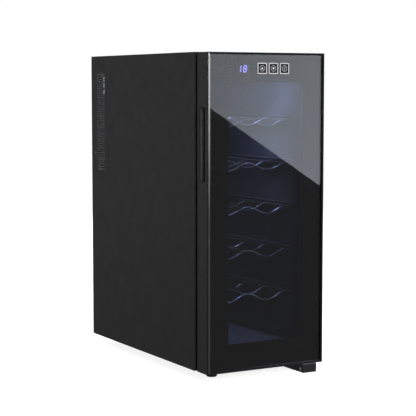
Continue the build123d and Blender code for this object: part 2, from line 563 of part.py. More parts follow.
with BuildPart() as door_liner_screws:
    for x, z in LINER_SCREWS:
        rod(x, (Y_FRAME_BACK - 2, Y_LINER_BACK), z, SCREW_R)
        rod(x, (Y_LINER_BACK, Y_LINER_BACK + 1), z, HEAD_R)
save(door_liner_screws, "door_liner_screws")

with BuildPart() as door_gasket:
    seal_ring(0, GASKET_WIDTH, (Y_LINER_BACK, Y_CABINET - GASKET_GAP))
    fillet(door_gasket.faces().sort_by(Axis.Y)[-1].edges(), 1.5)
    seal_ring(3.0, GROOVE_W, (Y_LINER_BACK - GROOVE_D, Y_LINER_BACK))
save(door_gasket, "door_gasket")


def bush(z, flange_z, name):
    """A flanged plastic bush that a hinge pin turns in."""
    with BuildPart() as piece:
        rod(AXIS_X, AXIS_Y, z, BUSH_R)
        rod(AXIS_X, AXIS_Y, flange_z, BUSH_R + 1.5)
        rod(AXIS_X, AXIS_Y, (min(z[0], flange_z[0]), max(z[1], flange_z[1])), PIN_R + RUNNING_GAP, Mode.SUBTRACT)
    save(piece, name)


bush((NOTCH_Z - 10, NOTCH_Z), (NOTCH_Z, NOTCH_Z + 0.8), "upper_hinge_bush")
bush((DOOR_Z[0], DOOR_Z[0] + 10), (DOOR_Z[0] - 0.45, DOOR_Z[0]), "lower_hinge_bush")


# ---- five wire shelves --------------------------------------------------------------
# One wave wire, drawn round the side rods' height: its peaks are at the middle and the ends.
WAVE_POINTS = [(k * WAVE_LENGTH / 2, -WAVE if k % 2 else 0.0) for k in (-1, 0, 1)]
WIRE_END = ROD_X - 1.0

with BuildPart() as wave_wire:
    with BuildLine(Plane.XZ) as path:
        Spline((-WIRE_END, 0), *WAVE_POINTS, (WIRE_END, 0), tangents=[(1, 0), (1, 0)])
    with BuildSketch(Plane(origin=path.line @ 0, z_dir=path.line % 0)):
        Circle(WIRE_R)
    sweep(path=path.line)

for shelf in range(SHELF_COUNT):
    with BuildPart() as wire_shelf:
        for x in (-ROD_X, ROD_X):
            rod(x, SHELF_Y, rod_height(shelf), ROD_R)
        with Locations((0, sum(SHELF_Y) / 2, rod_height(shelf))):
            with GridLocations(1, WIRE_PITCH, 1, WIRE_COUNT):
                add(wave_wire.part)
    save(wire_shelf, f"shelf_{shelf + 1}")
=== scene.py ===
import json
import math

import bmesh
import bpy
from mathutils import Matrix, Vector


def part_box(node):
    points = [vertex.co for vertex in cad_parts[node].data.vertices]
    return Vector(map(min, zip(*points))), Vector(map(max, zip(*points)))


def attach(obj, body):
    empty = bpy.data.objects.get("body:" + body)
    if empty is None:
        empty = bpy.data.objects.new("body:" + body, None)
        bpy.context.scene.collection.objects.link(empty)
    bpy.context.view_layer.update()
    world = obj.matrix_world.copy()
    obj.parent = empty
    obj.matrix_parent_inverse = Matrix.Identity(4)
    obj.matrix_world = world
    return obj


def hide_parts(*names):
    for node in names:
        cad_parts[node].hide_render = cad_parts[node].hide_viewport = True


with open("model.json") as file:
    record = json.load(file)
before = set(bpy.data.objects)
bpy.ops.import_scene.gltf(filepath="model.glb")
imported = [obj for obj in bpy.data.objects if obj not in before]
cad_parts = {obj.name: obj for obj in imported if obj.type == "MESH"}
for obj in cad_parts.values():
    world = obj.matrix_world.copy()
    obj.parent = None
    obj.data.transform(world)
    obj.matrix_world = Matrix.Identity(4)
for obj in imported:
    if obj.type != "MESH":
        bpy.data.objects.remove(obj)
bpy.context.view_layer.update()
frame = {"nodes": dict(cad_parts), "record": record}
MM = 0.001
nodes = frame["nodes"]
GLASS_LOW, GLASS_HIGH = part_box("front_glass")


# ---- materials ----------------------------------------------------------------------
COLOR_OCTAVES, GLOSS_OCTAVES, RELIEF_OCTAVES, GLOW_OCTAVES = 5.0, 6.0, 2.0, 4.0
EVEN = (1, 1, 1)
BAND_BLUR = 0.5 * MM
RUNNER_BAND = (89 * MM, 99 * MM)
GLASS_TINT = (0.55, 0.56, 0.60)


def set_range(node, start, end, low, high):
    """Sets a Map Range node to turn start..end into low..high."""
    for key, value in (("From Min", start), ("From Max", end), ("To Min", low), ("To Max", high)):
        node.inputs[key].default_value = value


class Surface:
    """A Principled material whose varying inputs come from noise over the object's own space."""

    def __init__(self, name, color, rough, **sockets):
        self.material = bpy.data.materials.new(name)
        self.material.use_nodes = True
        self.tree = self.material.node_tree
        self.shader = self.tree.nodes["Principled BSDF"]
        self.color, self.rough = color, rough
        self.set("Base Color", (*color, 1.0))
        self.set("Roughness", rough)
        for socket, value in sockets.items():
            self.set(socket.replace("_", " "), value)
        self.place = self.node("ShaderNodeTexCoord").outputs["Object"]
        self.height = None

    def set(self, socket, value):
        self.shader.inputs[socket].default_value = value

    def node(self, kind, **values):
        made = self.tree.nodes.new(kind)
        for key, value in values.items():
            if key in made.inputs:
                made.inputs[key].default_value = value
            else:
                setattr(made, key, value)
        return made

    def link(self, a, b):
        self.tree.links.new(a, b)

    def noise(self, scale, octaves, stretch=EVEN):
        """Noise with `scale` features per metre, longer along an axis with a small stretch."""
        mapping = self.node("ShaderNodeMapping", Scale=stretch)
        self.link(self.place, mapping.inputs["Vector"])
        made = self.node("ShaderNodeTexNoise", Scale=scale, Detail=octaves)
        self.link(mapping.outputs["Vector"], made.inputs["Vector"])
        return made.outputs["Fac"]

    def ramp(self, source, low, high, start=0.35, end=0.65):
        """Maps a factor to a value between low and high."""
        made = self.node("ShaderNodeMapRange")
        set_range(made, start, end, low, high)
        self.link(source, made.inputs["Value"])
        return made.outputs["Result"]

    def vary_color(self, scale, amount, tint=None):
        """Mottles the base colour by a share of itself, or towards a tint."""
        mix = self.node("ShaderNodeMix", data_type="RGBA")
        lighter = tint or tuple(c * (1 + amount) for c in self.color)
        darker = tuple(c * (1 - amount) for c in self.color)
        mix.inputs["A"].default_value = (*darker, 1)
        mix.inputs["B"].default_value = (*lighter, 1)
        self.link(self.ramp(self.noise(scale, COLOR_OCTAVES), 0, 1), mix.inputs["Factor"])
        self.link(mix.outputs["Result"], self.shader.inputs["Base Color"])
        return self

    def recolor_between(self, near, far, color):
        """Changes the colour to another between two distances from the object's middle plane."""
        split = self.node("ShaderNodeSeparateXYZ")
        reach = self.node("ShaderNodeMath", operation="ABSOLUTE")
        mix = self.node("ShaderNodeMix", data_type="RGBA")
        mix.inputs["B"].default_value = (*color, 1)
        self.link(self.place, split.inputs["Vector"])
        self.link(split.outputs["X"], reach.inputs[0])
        band = self.node("ShaderNodeMath", operation="MULTIPLY")
        self.link(self.ramp(reach.outputs[0], 0, 1, near, near + BAND_BLUR), band.inputs[0])
        self.link(self.ramp(reach.outputs[0], 1, 0, far, far + BAND_BLUR), band.inputs[1])
        self.link(band.outputs[0], mix.inputs["Factor"])
        self.link(self.shader.inputs["Base Color"].links[0].from_socket, mix.inputs["A"])
        self.link(mix.outputs["Result"], self.shader.inputs["Base Color"])
        return self

    def vary_rough(self, scale, amount, stretch=EVEN):
        """Smears and dulls the gloss by plus or minus `amount`."""
        source = self.noise(scale, GLOSS_OCTAVES, stretch)
        result = self.ramp(source, self.rough - amount, self.rough + amount)
        self.link(result, self.shader.inputs["Roughness"])
        return self

    def bump(self, scale, depth, stretch=EVEN):
        """Relief of a given depth in metres, added to any relief already there."""
        made = self.node("ShaderNodeBump", Distance=depth, Strength=1.0)
        self.link(self.noise(scale, RELIEF_OCTAVES, stretch), made.inputs["Height"])
        if self.height is not None:
            self.link(self.height, made.inputs["Normal"])
        self.height = made.outputs["Normal"]
        self.link(self.height, self.shader.inputs["Normal"])
        return self


# Scales below are noise features per metre, and a bump's depth is in metres.
def powder_coat(name, color, rough):
    """Fine orange peel on a long, shallow waviness."""
    made = Surface(name, color, rough)
    return made.vary_color(9, 0.05).vary_rough(30, 0.03).bump(1400, 0.00006).bump(90, 0.00006).material


def moulded(name, color, rough, grain=2200):
    """Plastic with a fine moulded grain."""
    made = Surface(name, color, rough)
    return made.vary_color(14, 0.12).vary_rough(60, 0.05).bump(grain, 0.00005).material


def metal(name, color, rough, stretch=EVEN):
    """Bare metal with faint scratches, which run along an axis with a small stretch."""
    made = Surface(name, color, rough, Metallic=1.0)
    made.vary_color(20, 0.06).vary_rough(120, 0.06, stretch)
    return made.bump(900, 0.00001, stretch).material


def rubber(name, color):
    """Dull rubber with a fine grain."""
    made = Surface(name, color, 0.62, Specular_IOR_Level=0.35)
    return made.vary_color(40, 0.18).vary_rough(200, 0.08).bump(3000, 0.00004).material


def pane(name, tint, bend=1.5):
    """Clear tinted glass with a faint film of dust on it."""
    made = Surface(name, tint, 0.005, Transmission_Weight=1.0, IOR=bend)
    return made.vary_rough(12, 0.003).vary_color(3, 0.01).material


def print_ink(name, color, rough):
    """Matte screen print."""
    made = Surface(name, color, rough, Specular_IOR_Level=0.2)
    return made.vary_color(400, 0.08).vary_rough(500, 0.08).material


def glowing(name, color, strength, rough=0.3):
    """Gives off its own colour, a little unevenly."""
    made = Surface(name, color, rough)
    made.set("Emission Strength", strength)
    mix = made.node("ShaderNodeMix", data_type="RGBA")
    mix.inputs["A"].default_value = (*(c * 0.85 for c in color), 1)
    mix.inputs["B"].default_value = (*color, 1)
    made.link(made.ramp(made.noise(300, GLOW_OCTAVES), 0, 1), mix.inputs["Factor"])
    made.link(mix.outputs["Result"], made.shader.inputs["Emission Color"])
    return made.material


def foam():
    """Coarse rigid foam."""
    made = Surface("rigid_foam", (0.72, 0.62, 0.36), 0.85)
    return made.vary_color(60, 0.12).bump(900, 0.0004).material


def liner():
    """Grey-blue sheet with darker shelf runners."""
    made = Surface("liner_sheet", (0.038, 0.040, 0.048), 0.45).vary_color(14, 0.12)
    made.recolor_between(*RUNNER_BAND, (0.012, 0.012, 0.015))
    return made.vary_rough(60, 0.05).bump(1200, 0.00005).material


def circuit():
    """Green solder mask, mottled with a paler green."""
    made = Surface("solder_mask", (0.012, 0.11, 0.045), 0.35)
    return made.vary_color(250, 0.35, tint=(0.03, 0.2, 0.09)).bump(700, 0.00004).material


MATERIALS = {
    "black_steel": powder_coat("powder_coated_steel", (0.0135, 0.0125, 0.0135), 0.42),
    "door_plastic": powder_coat("door_lacquer", (0.016, 0.015, 0.0165), 0.38),
    "black_plastic": moulded("black_moulding", (0.010, 0.010, 0.011), 0.5),
    "bezel_gloss": moulded("bezel_polish", (0.012, 0.012, 0.014), 0.16, 500),
    "liner_plastic": liner(),
    "foam": foam(),
    "aluminium": metal("mill_aluminium", (0.78, 0.79, 0.8), 0.32, (1, 1, 0.05)),
    "ceramic": moulded("white_ceramic", (0.82, 0.82, 0.79), 0.4, 800),
    "steel": metal("zinc_plate", (0.55, 0.55, 0.53), 0.3),
    "fan_plastic": moulded("fan_moulding", (0.013, 0.013, 0.014), 0.42),
    "nylon": moulded("white_nylon", (0.78, 0.77, 0.72), 0.5, 900),
    "circuit_board": circuit(),
    "lamp_lens": glowing("lamp_glow", (0.22, 0.32, 1.0), 2.0),
    "clear_glass": pane("tinted_pane", GLASS_TINT),
    "black_print": print_ink("black_print", (0.0035, 0.0033, 0.0035), 0.6),
    "display": moulded("display_face", (0.004, 0.004, 0.006), 0.4),
    "touch_pad": metal("sprung_copper", (0.72, 0.42, 0.24), 0.35),
    "chrome_wire": metal("bright_chrome", (0.88, 0.90, 0.94), 0.14),
    "foot_rubber": rubber("foot_rubber", (0.013, 0.0125, 0.0125)),
    "gasket_rubber": rubber("seal_rubber", (0.010, 0.010, 0.0105)),
}
# The key outlines and rings are grey print that glows a little: painted light, standing in for the lamp
# light the print would catch
OUTLINE_PAINTED_GLOW = glowing("key_outline_ink_painted_glow", (0.50, 0.50, 0.52), 0.5, 0.6)
RING_PAINTED_GLOW = glowing("key_ring_ink_painted_glow", (0.30, 0.31, 0.33), 0.4, 0.6)
INK_WHITE = glowing("key_glyph_light", (0.85, 0.88, 1.0), 0.9)
DIGIT_LIGHT = glowing("digit_light", (0.45, 0.45, 1.0), 1.9)
DIGIT_HALO = glowing("digit_halo", (0.10, 0.10, 0.75), 1.0)

VENT_FINISH = powder_coat("vent_mesh_coat", (0.11, 0.115, 0.125), 0.4)
NODE_FINISH = {
    "left_vent_grille": VENT_FINISH,
    "right_vent_grille": VENT_FINISH,
    "grip_insert": rubber("grip_moulding", (0.017, 0.0165, 0.0175)),
    "inner_glass": pane("coated_pane", GLASS_TINT, 1.12),
}

slots = {row["node"]: row["material_slot"] for row in frame["record"]["subparts"]}
for name, cad in nodes.items():
    for material_slot in cad.material_slots:
        material_slot.material = MATERIALS[slots[name]]
for name, finish in NODE_FINISH.items():
    nodes[name].material_slots[0].material = finish


# ---- mesh helpers -------------------------------------------------------------------
def in_scene(name, data):
    """A new object in the scene."""
    made = bpy.data.objects.new(name, data)
    bpy.context.scene.collection.objects.link(made)
    return made


def add_piece(name, mesh, body, slot, material=None, replaces=()):
    """Puts a finished mesh in the scene, on its body, in its slot's finish or one of its own."""
    piece = in_scene(name, mesh)
    mesh.materials.clear()
    mesh.materials.append(material or MATERIALS[slot])
    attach(piece, body)
    if replaces:
        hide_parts(*replaces)
    return piece


def finish_mesh(name, code, smooth_angle=35):
    """Turns a bmesh into a mesh with outward faces, smooth except at edges sharper than an angle."""
    bmesh.ops.recalc_face_normals(code, faces=code.faces[:])
    mesh = bpy.data.meshes.new(name)
    code.to_mesh(mesh)
    code.free()
    mesh.shade_smooth()
    mesh.set_sharp_from_angle(angle=math.radians(smooth_angle))
    return mesh


def rectangle(low, high):
    """The corners of an upright rectangle, as (x, z)."""
    return [(low[0], low[1]), (high[0], low[1]), (high[0], high[1]), (low[0], high[1])]


def bridge_loops(code, loops):
    """Joins closed loops of vertices with quads, each to the next and the last to the first."""
    for this, after in zip(loops, loops[1:] + loops[:1]):
        for k in range(len(this)):
            beyond = (k + 1) % len(this)
            code.faces.new((this[k], this[beyond], after[beyond], after[k]))


def ring_sweep(name, half, z, profile):
    """A mitred rectangular ring. The profile is a closed outline of (inset, y) points."""
    code = bmesh.new()
    corners = []
    for inset, y in profile:
        loop = rectangle((-half + inset, z[0] + inset), (half - inset, z[1] - inset))
        corners.append([code.verts.new((x, y, height)) for x, height in loop])
    bridge_loops(code, corners)
    return finish_mesh(name, code, 25)


def evaluated_mesh(made):
    """The mesh of an object with its modifiers or bevel applied."""
    return bpy.data.meshes.new_from_object(made.evaluated_get(bpy.context.evaluated_depsgraph_get()))


def aimed(direction):
    """A turn that takes +Z to a direction."""
    return Vector(direction).to_track_quat("Z", "Y").to_matrix().to_4x4()


def tube(points, radius, bevel_steps):
    """A round wire along a run of points, with flat ends, as a mesh."""
    line = bpy.data.curves.new("wire", "CURVE")
    line.dimensions = "3D"
    line.bevel_depth = radius
    line.bevel_resolution = bevel_steps
    line.use_fill_caps = True
    spline = line.splines.new("POLY")
    spline.points.add(len(points) - 1)
    for point, place in zip(spline.points, points):
        point.co = (*place, 1)
    holder = in_scene("wire", line)
    bpy.context.view_layer.update()
    mesh = evaluated_mesh(holder)
    bpy.data.objects.remove(holder)
    bpy.data.curves.remove(line)
    mesh.shade_smooth()
    return mesh


def join_meshes(name, meshes):
    """One mesh from several."""
    code = bmesh.new()
    for mesh in meshes:
        code.from_mesh(mesh)
        bpy.data.meshes.remove(mesh)
    merged = bpy.data.meshes.new(name)
    code.to_mesh(merged)
    code.free()
    merged.shade_smooth()
    return merged


def lathe(code, profile, base, axis, steps):
    """Adds a turned solid: profile is (radius, height) along the axis from base."""
    matrix = Matrix.Translation(base) @ aimed(axis)
    rings = []
    for radius, height in profile:
        if radius == 0:
            rings.append([code.verts.new(matrix @ Vector((0, 0, height)))])
            continue
        angles = [k * math.tau / steps for k in range(steps)]
        rings.append([code.verts.new(matrix @ Vector((radius * math.cos(a), radius * math.sin(a), height)))
                      for a in angles])
    for low, high in zip(rings, rings[1:]):
        for k in range(steps):
            after = (k + 1) % steps
            face = [low[k % len(low)], low[after % len(low)], high[after % len(high)], high[k % len(high)]]
            code.faces.new(list(dict.fromkeys(face)))


# ---- camera, floor, backdrop and lights ---------------------------------------------
CAMERA_PLACE = Vector((-1.3844, -2.4761, 0.5723))
CAMERA_YAW, CAMERA_PITCH = math.radians(29.49), math.radians(5.13)
LENS, SENSOR = 116.4, 36.0
FLOOR_RADIUS, FLOOR_GLOW, DOME_RADIUS = 9.0, 0.86, 8.5
WORLD_STRENGTH = 0.18
WHITE, SKY_BLUE = (1, 1, 1), (0.87, 0.92, 1.0)
CARD_Y, CARD_SIZE, CARD_POWER = -1.9, (1.6, 1.1), 13.0
CARD_FADE = (0.45, 1.55)
CARD_EDGE_LEFT, CARD_EDGE_RIGHT = 0.5092, 0.3502
# name, place, target, size, power
LIP_CARD = ("lip_card", (-0.62, -2.0, 0.35), (-0.62, 0.0, 0.35), (0.5, 1.7), 11.0)
LIP_FADE, LIP_SPAN = (0.2, 8.0), (0.42, 0.92)
SOFT_LIGHTS = (
    ("left_sheen", (-2.2, 3.0, 0.8), (-0.13, 0.0, 0.3), (2.4, 2.2), 2.4),
    ("overhead", (1.2, 1.0, 2.8), (0.1, 0.1, 0.3), (1.8, 1.2), 30.0),
    ("right_soft", (2.6, 1.4, 1.2), (0, 0, 0.3), (1.2, 1.4), 20.0),
    ("back_soft", (0.9, 2.8, 1.3), (0, 0.2, 0.3), (1.6, 1.4), 24.0),
)


def make_camera():
    """A long lens to the left of the front, a little above the middle."""
    data = bpy.data.cameras.new("camera")
    data.lens, data.sensor_width = LENS, SENSOR
    camera = in_scene("camera", data)
    camera.location = CAMERA_PLACE
    ahead = Vector((math.sin(CAMERA_YAW) * math.cos(CAMERA_PITCH),
                    math.cos(CAMERA_YAW) * math.cos(CAMERA_PITCH), -math.sin(CAMERA_PITCH)))
    camera.rotation_mode = "QUATERNION"
    camera.rotation_quaternion = ahead.to_track_quat("-Z", "Y")
    bpy.context.scene.camera = camera


def stage_mesh(name, code, surface, strength):
    """A glowing backdrop that only the camera sees: the object isn't lit by it and doesn't mirror it."""
    surface.set("Emission Color", (1, 1, 1, 1))
    surface.set("Emission Strength", strength)
    mesh = finish_mesh(name, code)
    mesh.materials.append(surface.material)
    made = in_scene(name, mesh)
    for ray in ("visible_diffuse", "visible_glossy", "visible_transmission", "visible_shadow"):
        setattr(made, ray, False)


def make_stage():
    """A round pale floor inside a bright dome."""
    paper = Surface("studio_paper", (0.80, 0.80, 0.80), 0.9, Specular_IOR_Level=0.1)
    code = bmesh.new()
    bmesh.ops.create_circle(code, cap_ends=True, radius=FLOOR_RADIUS, segments=96)
    stage_mesh("studio_floor", code, paper.vary_color(2, 0.01), FLOOR_GLOW)
    code = bmesh.new()
    bmesh.ops.create_icosphere(code, subdivisions=4, radius=DOME_RADIUS)
    stage_mesh("studio_dome", code, Surface("studio_wall", (0, 0, 0), 1.0), 1.0)


def area_light(name, place, target, size, power, color=WHITE):
    """A rectangular light at a place, aimed at a target and unseen by the camera."""
    data = bpy.data.lights.new(name, "AREA")
    data.shape, data.size, data.size_y = "RECTANGLE", *size
    data.energy, data.color = power, color
    light = in_scene(name, data)
    aim = (Vector(target) - Vector(place)).to_track_quat("-Z", "Y").to_matrix().to_4x4()
    light.matrix_world = Matrix.Translation(place) @ aim
    light.visible_camera = False
    return light


def fade(light, side, strengths, span=(0.0, 1.0)):
    """Changes a card's strength from the first value to the second over a span of its side."""
    light.data.use_nodes = True
    tree = light.data.node_tree
    surface, split, ramp = (tree.nodes.new(kind) for kind in (
        "ShaderNodeNewGeometry", "ShaderNodeSeparateXYZ", "ShaderNodeMapRange"))
    tree.links.new(surface.outputs["Parametric"], split.inputs[0])
    tree.links.new(split.outputs[side], ramp.inputs["Value"])
    set_range(ramp, *span, *strengths)
    tree.links.new(ramp.outputs["Result"], tree.nodes["Emission"].inputs["Strength"])


def mirror_point(x, height):
    """Where the front pane's reflection at x, a height above its lower edge, meets the card's plane."""
    place = Vector((x, GLASS_LOW.y, GLASS_LOW.z + height))
    image = Vector((CAMERA_PLACE.x, 2 * GLASS_LOW.y - CAMERA_PLACE.y, CAMERA_PLACE.z))
    reach = (CARD_Y - image.y) / (place.y - image.y)
    return image + (place - image) * reach


def make_glare_card():
    """A softbox to the front right. Its straight lower edge crosses the pane's reflection on a slant."""
    left = mirror_point(GLASS_LOW.x, CARD_EDGE_LEFT)
    right = mirror_point(GLASS_HIGH.x, CARD_EDGE_RIGHT)
    along = (right - left).normalized()
    across = Vector((-along.z, 0, along.x))
    middle = (left + right) / 2 + across * CARD_SIZE[1] / 2
    light = area_light("glare_card", middle, middle + Vector((0, 1, 0)), CARD_SIZE, CARD_POWER, SKY_BLUE)
    basis = Matrix((along, across, Vector((0, -1, 0)))).transposed()
    light.matrix_world = Matrix.Translation(middle) @ basis.to_4x4()
    fade(light, "X", CARD_FADE)


def make_lights():
    """A dim even world, a card that the door's left lip mirrors, and four large soft lights."""
    world = bpy.data.worlds.new("studio")
    bpy.context.scene.world = world
    world.use_nodes = True
    background = world.node_tree.nodes["Background"]
    background.inputs["Color"].default_value = (1, 1, 1, 1)
    background.inputs["Strength"].default_value = WORLD_STRENGTH
    fade(area_light(*LIP_CARD), "Y", LIP_FADE, LIP_SPAN)
    for row in SOFT_LIGHTS:
        area_light(*row)


bpy.context.scene.view_settings.view_transform = "Standard"
make_camera()
make_stage()
make_glare_card()
make_lights()


# ---- door: bezel, print, display and keys -------------------------------------------
PRINT_Y = GLASS_HIGH.y + 0.02 * MM
KEY_Y = GLASS_LOW.y - 0.12 * MM
INK_THICK = 0.04 * MM
WINDOW_HALF, WINDOW_Z = 84.5 * MM, (76 * MM, 582 * MM)
DISPLAY_CENTRE, DISPLAY_HALF = Vector((-50.8 * MM, 0, 607.4 * MM)), Vector((11 * MM, 0, 7.5 * MM))
DIGIT_TALL, DIGIT_WIDE, DIGIT_LEAN = 12.0 * MM, 5.8 * MM, 0.12
# the lit segments of each digit, and its left edge from the display's centre
DIGITS = (("bc", -13.1 * MM), ("abcdefg", -0.6 * MM))
KEY_Z, KEY_X = 608.6 * MM, {"up": -10.6 * MM, "down": 14.8 * MM, "lamp": 40.2 * MM}
# half width and corner radius of a key's squares; outer and inner radius of its rings
PATCH, OUTLINE_OUTER, OUTLINE_INNER = (10.4 * MM, 1.6 * MM), (10.6 * MM, 1.8 * MM), (9.0 * MM, 0.8 * MM)
KEY_RING, BULB_RING, BULB_RISE = (5.9 * MM, 4.8 * MM), (2.3 * MM, 1.6 * MM), 0.8 * MM
BULB_BAR_DROPS, BULB_BAR_HALF = (2.0 * MM, 3.0 * MM), (1.1 * MM, 0.3 * MM)
ARROW_HALF, ARROW_FOOT, ARROW_TIP = 2.1 * MM, 1.5 * MM, 2.1 * MM


def make_bezel():
    """The polished frame round the pane: a sloping face, an inner lip and a groove round the outside."""
    low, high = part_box("front_bezel")
    lip = GLASS_LOW.x - low.x
    front, back = low.y, high.y
    profile = [(0.0, front + 1.75 * MM), (0.25 * MM, front + 1.6 * MM), (lip - 0.3 * MM, front),
               (lip, front + 0.25 * MM), (lip, back), (0.0, back), (0.0, back - 0.9 * MM),
               (1.0 * MM, back - 1.0 * MM), (1.0 * MM, front + 2.2 * MM), (0.0, front + 2.1 * MM)]
    mesh = ring_sweep("bezel_frame", high.x, (low.z, high.z), profile)
    add_piece("bezel_frame", mesh, "door", "bezel_gloss", replaces=("front_bezel",))


def flat_plate(code, outline, y):
    """Adds a thin plate that faces the front, from (x, z) points."""
    front = [code.verts.new((x, y, z)) for x, z in outline]
    back = [code.verts.new((x, y + INK_THICK, z)) for x, z in outline]
    code.faces.new(front)
    code.faces.new(back[::-1])
    for k in range(len(outline)):
        after = (k + 1) % len(outline)
        code.faces.new((front[k], back[k], back[after], front[after]))


def make_print():
    """The black print behind the pane, in strips that leave the window and the display clear."""
    code = bmesh.new()
    y = PRINT_Y + 0.1 * MM
    low, high = (GLASS_LOW.x, GLASS_LOW.z), (GLASS_HIGH.x, GLASS_HIGH.z)
    show_low, show_high = DISPLAY_CENTRE - DISPLAY_HALF, DISPLAY_CENTRE + DISPLAY_HALF
    strips = [
        (low, (high[0], WINDOW_Z[0])),
        ((low[0], WINDOW_Z[0]), (-WINDOW_HALF, WINDOW_Z[1])),
        ((WINDOW_HALF, WINDOW_Z[0]), (high[0], WINDOW_Z[1])),
        ((low[0], WINDOW_Z[1]), (high[0], show_low.z)),
        ((low[0], show_low.z), (show_low.x, show_high.z)),
        ((show_high.x, show_low.z), (high[0], show_high.z)),
        ((low[0], show_high.z), high)]
    for strip_low, strip_high in strips:
        flat_plate(code, rectangle(strip_low, strip_high), y)
    mesh = finish_mesh("print_layer", code)
    add_piece("print_layer", mesh, "door", "black_print", replaces=("glass_mask",))


def make_digits(name, material, bar, gap, y):
    """Two seven-segment digits that show 18, leaning a little to the right."""
    level = {"a": DIGIT_TALL, "g": DIGIT_TALL / 2, "d": 0.0}
    upright = {"f": (0, 1), "b": (1, 1), "e": (0, 0), "c": (1, 0)}
    half = bar / 2
    code = bmesh.new()
    for lit, left in DIGITS:
        base = DISPLAY_CENTRE + Vector((left, 0, -DIGIT_TALL / 2))
        for segment in lit:
            if segment in level:
                z, x0, x1 = level[segment], gap, DIGIT_WIDE - gap
                points = [(x0, z), (x0 + half, z + half), (x1 - half, z + half),
                          (x1, z), (x1 - half, z - half), (x0 + half, z - half)]
            else:
                side, upper = upright[segment]
                x, low = side * DIGIT_WIDE, upper * DIGIT_TALL / 2
                z0, z1 = low + gap, low + DIGIT_TALL / 2 - gap
                points = [(x, z0), (x + half, z0 + half), (x + half, z1 - half),
                          (x, z1), (x - half, z1 - half), (x - half, z0 + half)]
            flat_plate(code, [(base.x + x + DIGIT_LEAN * z, base.z + z) for x, z in points], y)
    add_piece(name, finish_mesh(name, code), "door", "display", material)


def ring_outline(code, outer, inner, y):
    """Adds a flat closed band between two outlines with the same number of (x, z) points."""
    bridge_loops(code, [
        [code.verts.new((x, depth, z)) for x, z in outline]
        for outline, depth in ((outer, y), (inner, y), (inner, y + INK_THICK), (outer, y + INK_THICK))])


def rounded_square(x, z, half, corner):
    """Points of a square with round corners, about (x, z)."""
    points, steps = [], 5
    for quarter, (sx, sz) in enumerate(((1, 1), (-1, 1), (-1, -1), (1, -1))):
        for k in range(steps):
            angle = math.pi / 2 * (quarter + k / (steps - 1))
            points.append((x + sx * (half - corner) + corner * math.cos(angle),
                           z + sz * (half - corner) + corner * math.sin(angle)))
    return points


def circle_ring(code, x, z, radii):
    """Adds a flat ring between two radii, on the pane."""
    steps = 40
    angles = [k * math.tau / steps for k in range(steps)]
    ring_outline(code, *([(x + radius * math.cos(a), z + radius * math.sin(a)) for a in angles]
                         for radius in radii), KEY_Y)


def make_keys():
    """Matte key patches on the pane, each with an outline and a ring, for up, down and the lamp."""
    patches, outlines, rings, glyphs = (bmesh.new() for _ in range(4))
    for key, x in KEY_X.items():
        flat_plate(patches, rounded_square(x, KEY_Z, *PATCH), KEY_Y + 0.05 * MM)
        ring_outline(outlines, rounded_square(x, KEY_Z, *OUTLINE_OUTER),
                     rounded_square(x, KEY_Z, *OUTLINE_INNER), KEY_Y)
        circle_ring(rings, x, KEY_Z, KEY_RING)
        if key == "lamp":
            circle_ring(rings, x, KEY_Z + BULB_RISE, BULB_RING)
            wide, tall = BULB_BAR_HALF
            for drop in BULB_BAR_DROPS:
                z = KEY_Z - drop
                flat_plate(rings, rectangle((x - wide, z - tall), (x + wide, z + tall)), KEY_Y)
        else:
            way = 1 if key == "up" else -1
            foot = KEY_Z - way * ARROW_FOOT
            arrow = [(x - ARROW_HALF, foot), (x + ARROW_HALF, foot), (x, KEY_Z + way * ARROW_TIP)]
            flat_plate(glyphs, arrow[::way], KEY_Y)
    add_piece("key_patches", finish_mesh("key_patches", patches), "door", "black_print")
    # The outlines and rings are lit by their own painted glow, not by the lamps
    add_piece("key_outlines", finish_mesh("key_outlines", outlines), "door", "black_print", OUTLINE_PAINTED_GLOW)
    add_piece("key_rings", finish_mesh("key_rings", rings), "door", "black_print", RING_PAINTED_GLOW)
    add_piece("key_glyphs", finish_mesh("key_glyphs", glyphs), "door", "display", INK_WHITE)


make_bezel()
make_print()
make_digits("display_digits", DIGIT_LIGHT, 1.2 * MM, 0.3 * MM, PRINT_Y + 0.06 * MM)
make_digits("display_halo", DIGIT_HALO, 2.9 * MM, -0.3 * MM, PRINT_Y + 0.11 * MM)
make_keys()


# ---- inside: shelves and lamp -------------------------------------------------------
SHELF_COUNT, WIRE_COUNT, WIRE_STEPS = 5, 5, 72
WAVE_HEIGHT, WAVE_LENGTH, WIRE_R, ROD_R = 14.5 * MM, 92 * MM, 1.5 * MM, 2.0 * MM
WELD_DEPTH = 0.4 * MM
LAMP_SIZE, LAMP_POWER, LAMP_COLOR = (50 * MM, 14 * MM), 0.3, (0.40, 0.50, 1.0)
BEAM_POWER, BEAM_COLOR, BEAM_SPREAD, BEAM_TARGET = 1.7, (0.50, 0.58, 1.0), 85, (-0.06, 0.02, 0.06)
GLOW_SIZE, GLOW_POWER, GLOW_COLOR = (60 * MM, 160 * MM), 0.5, (0.30, 0.48, 1.0)
GLOW_OFFSET = (-68 * MM, 120 * MM, 0)


